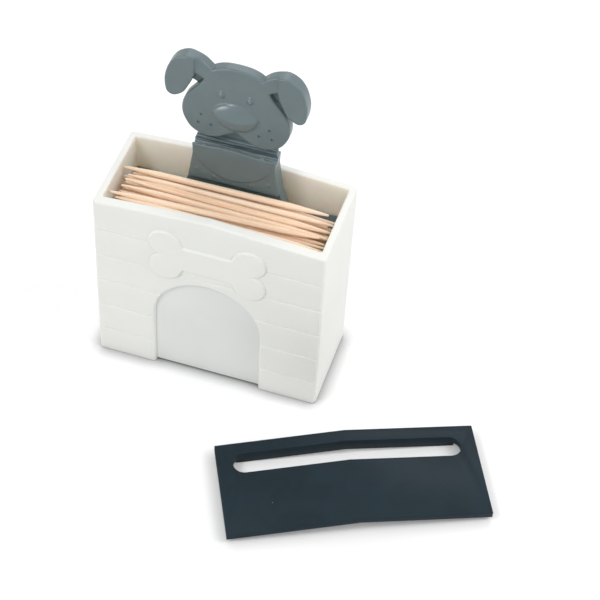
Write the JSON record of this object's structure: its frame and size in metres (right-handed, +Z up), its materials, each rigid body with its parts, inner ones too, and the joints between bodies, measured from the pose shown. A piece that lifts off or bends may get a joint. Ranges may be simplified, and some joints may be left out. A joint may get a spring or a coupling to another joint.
{
  "type": "toothpick holder",
  "caption": "Toothpick holder shaped as a dog house with a bare bone plaque and a gable roof, whose pull-up dog lifts a toothpick through a slot in the roof.",
  "frame": {"origin": "middle of the base, on the table", "axes": "+X to the object's right seen from the front, +Z up along the dog's travel; the front wall with the door faces -Y"},
  "size_m": [0.1403, 0.0949, 0.1126],
  "materials": {
    "house_plastic": "fine matte, warm off-white",
    "door_plastic": "fine matte, cool off-white",
    "dog_plastic": "satin, grey-blue",
    "roof_plastic": "satin, dark navy slate",
    "toothpick_wood": "plain light birch, unfinished"
  },
  "bodies": {
    "house": {"house_shell": "house_plastic", "door_panel": "door_plastic", "feed_ramp": "house_plastic", "toothpick_01": "toothpick_wood", "toothpick_02": "toothpick_wood", "toothpick_03": "toothpick_wood", "toothpick_04": "toothpick_wood", "toothpick_05": "toothpick_wood", "toothpick_06": "toothpick_wood", "toothpick_07": "toothpick_wood", "toothpick_08": "toothpick_wood", "toothpick_09": "toothpick_wood", "toothpick_10": "toothpick_wood", "toothpick_11": "toothpick_wood", "toothpick_12": "toothpick_wood", "toothpick_13": "toothpick_wood", "toothpick_14": "toothpick_wood", "toothpick_15": "toothpick_wood", "toothpick_16": "toothpick_wood", "toothpick_17": "toothpick_wood", "toothpick_18": "toothpick_wood", "toothpick_19": "toothpick_wood", "toothpick_20": "toothpick_wood", "toothpick_21": "toothpick_wood", "toothpick_22": "toothpick_wood", "toothpick_23": "toothpick_wood", "toothpick_24": "toothpick_wood", "toothpick_25": "toothpick_wood", "toothpick_26": "toothpick_wood", "toothpick_27": "toothpick_wood", "toothpick_28": "toothpick_wood", "toothpick_29": "toothpick_wood", "toothpick_30": "toothpick_wood", "toothpick_31": "toothpick_wood", "toothpick_32": "toothpick_wood", "toothpick_33": "toothpick_wood", "toothpick_34": "toothpick_wood", "toothpick_35": "toothpick_wood"},
    "dog": {"lift_carriage": "dog_plastic", "dog_figure": "dog_plastic"},
    "roof": {"roof": "roof_plastic"}
  },
  "joints": [
    {"name": "dog_slide", "type": "slide", "parent": "house", "child": "dog", "axis": [0, 0, 1], "range_m": [-0.028, 0.0095]},
    {"name": "roof_lift", "type": "slide", "parent": "house", "child": "roof", "axis": [0, 0, 1], "range_m": [0, 0.08]}
  ]
}
